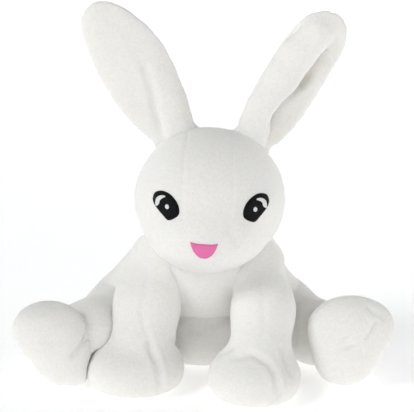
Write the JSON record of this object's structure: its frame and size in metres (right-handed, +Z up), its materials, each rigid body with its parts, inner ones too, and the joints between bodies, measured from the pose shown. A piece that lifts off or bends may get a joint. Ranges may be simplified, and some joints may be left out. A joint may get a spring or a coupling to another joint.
{
  "type": "plush rabbit",
  "caption": "Seated white plush rabbit with upright ears, embroidered face, standing forelegs and splayed hind legs; its stuffed limbs, ears, head and tail flex.",
  "frame": {"origin": "on the floor under the middle of the seat", "axes": "+Z up, the rabbit faces -Y, its own left is +X"},
  "size_m": [0.2695, 0.203, 0.2671],
  "materials": {
    "plush": "matte",
    "sole_plush": "matte",
    "embroidery_black": "satin",
    "embroidery_white": "satin",
    "embroidery_pink": "satin",
    "wadding": "matte",
    "pellet_cloth": "matte",
    "pellets": "matte",
    "label_tape": "satin"
  },
  "bodies": {
    "torso": {"torso_back_left": "plush", "torso_back_right": "plush", "chest_panel": "plush", "seat_panel": "plush", "torso_stuffing": "wadding", "pellet_bag": "pellet_cloth", "pellet_fill": "pellets", "sewn_label": "label_tape"},
    "neck": {"neck_wadding": "wadding"},
    "head": {"head_gusset": "plush", "head_side_left": "plush", "head_side_right": "plush", "head_stuffing": "wadding", "eye_left_black": "embroidery_black", "eye_left_white": "embroidery_white", "eye_right_black": "embroidery_black", "eye_right_white": "embroidery_white", "nose_embroidery": "embroidery_pink"},
    "tail": {"tail_upper": "plush", "tail_lower": "plush", "tail_stuffing": "wadding"},
    "ear_left": {"ear_left_lining": "plush", "ear_left_back": "plush", "ear_left_wadding": "wadding"},
    "foreleg_left": {"foreleg_left_inner": "plush", "foreleg_left_outer": "plush", "foreleg_left_stuffing": "wadding"},
    "hindleg_left": {"hindleg_left_upper": "plush", "hindleg_left_lower": "plush", "hindleg_left_stuffing": "wadding"},
    "foot_left": {"foot_left_sole": "sole_plush", "foot_left_upper": "plush", "foot_left_stuffing": "wadding"},
    "ear_right": {"ear_right_lining": "plush", "ear_right_back": "plush", "ear_right_wadding": "wadding"},
    "foreleg_right": {"foreleg_right_inner": "plush", "foreleg_right_outer": "plush", "foreleg_right_stuffing": "wadding"},
    "hindleg_right": {"hindleg_right_upper": "plush", "hindleg_right_lower": "plush", "hindleg_right_stuffing": "wadding"},
    "foot_right": {"foot_right_sole": "sole_plush", "foot_right_upper": "plush", "foot_right_stuffing": "wadding"}
  },
  "joints": [
    {"name": "neck_turn", "type": "hinge", "parent": "torso", "child": "neck", "pos_m": [0.002, -0.038, 0.13], "axis": [0, 0, 1], "range_deg": [-30, 30], "stiffness_Nm_per_rad": 0.25},
    {"name": "head_nod", "type": "hinge", "parent": "neck", "child": "head", "pos_m": [0.002, -0.038, 0.13], "axis": [1, 0, 0], "range_deg": [-14, 10], "stiffness_Nm_per_rad": 0.6},
    {"name": "ear_left_flop", "type": "hinge", "parent": "head", "child": "ear_left", "pos_m": [0.031, -0.03, 0.18017], "axis": [0.6533, -0.6157, -0.4407], "range_deg": [-35, 35], "stiffness_Nm_per_rad": 0.02},
    {"name": "ear_right_flop", "type": "hinge", "parent": "head", "child": "ear_right", "pos_m": [-0.025, -0.03, 0.18128], "axis": [0.8576, 0.1392, 0.4951], "range_deg": [-35, 35], "stiffness_Nm_per_rad": 0.02},
    {"name": "foreleg_left_swing", "type": "hinge", "parent": "torso", "child": "foreleg_left", "pos_m": [0.043, -0.046, 0.07], "axis": [-1, 0, 0], "range_deg": [0, 45], "stiffness_Nm_per_rad": 0.15},
    {"name": "foreleg_right_swing", "type": "hinge", "parent": "torso", "child": "foreleg_right", "pos_m": [-0.042, -0.044, 0.071], "axis": [-1, 0, 0], "range_deg": [0, 45], "stiffness_Nm_per_rad": 0.15},
    {"name": "hip_left_spread", "type": "hinge", "parent": "torso", "child": "hindleg_left", "pos_m": [0.056, 0.012, 0.027], "axis": [0, 0, 1], "range_deg": [0, 20], "stiffness_Nm_per_rad": 0.15},
    {"name": "hip_right_spread", "type": "hinge", "parent": "torso", "child": "hindleg_right", "pos_m": [-0.061, 0.01, 0.028], "axis": [0, 0, -1], "range_deg": [0, 20], "stiffness_Nm_per_rad": 0.15},
    {"name": "ankle_left_tip", "type": "hinge", "parent": "hindleg_left", "child": "foot_left", "pos_m": [0.09, -0.034, 0.024], "axis": [1, 0, 0], "range_deg": [-12, 12], "stiffness_Nm_per_rad": 0.08},
    {"name": "ankle_right_tip", "type": "hinge", "parent": "hindleg_right", "child": "foot_right", "pos_m": [-0.097, -0.034, 0.024], "axis": [1, 0, 0], "range_deg": [-12, 12], "stiffness_Nm_per_rad": 0.08},
    {"name": "tail_wag", "type": "hinge", "parent": "torso", "child": "tail", "pos_m": [-0.003, 0.061, 0.036], "axis": [0, 0, 1], "range_deg": [-15, 15], "stiffness_Nm_per_rad": 0.02}
  ]
}
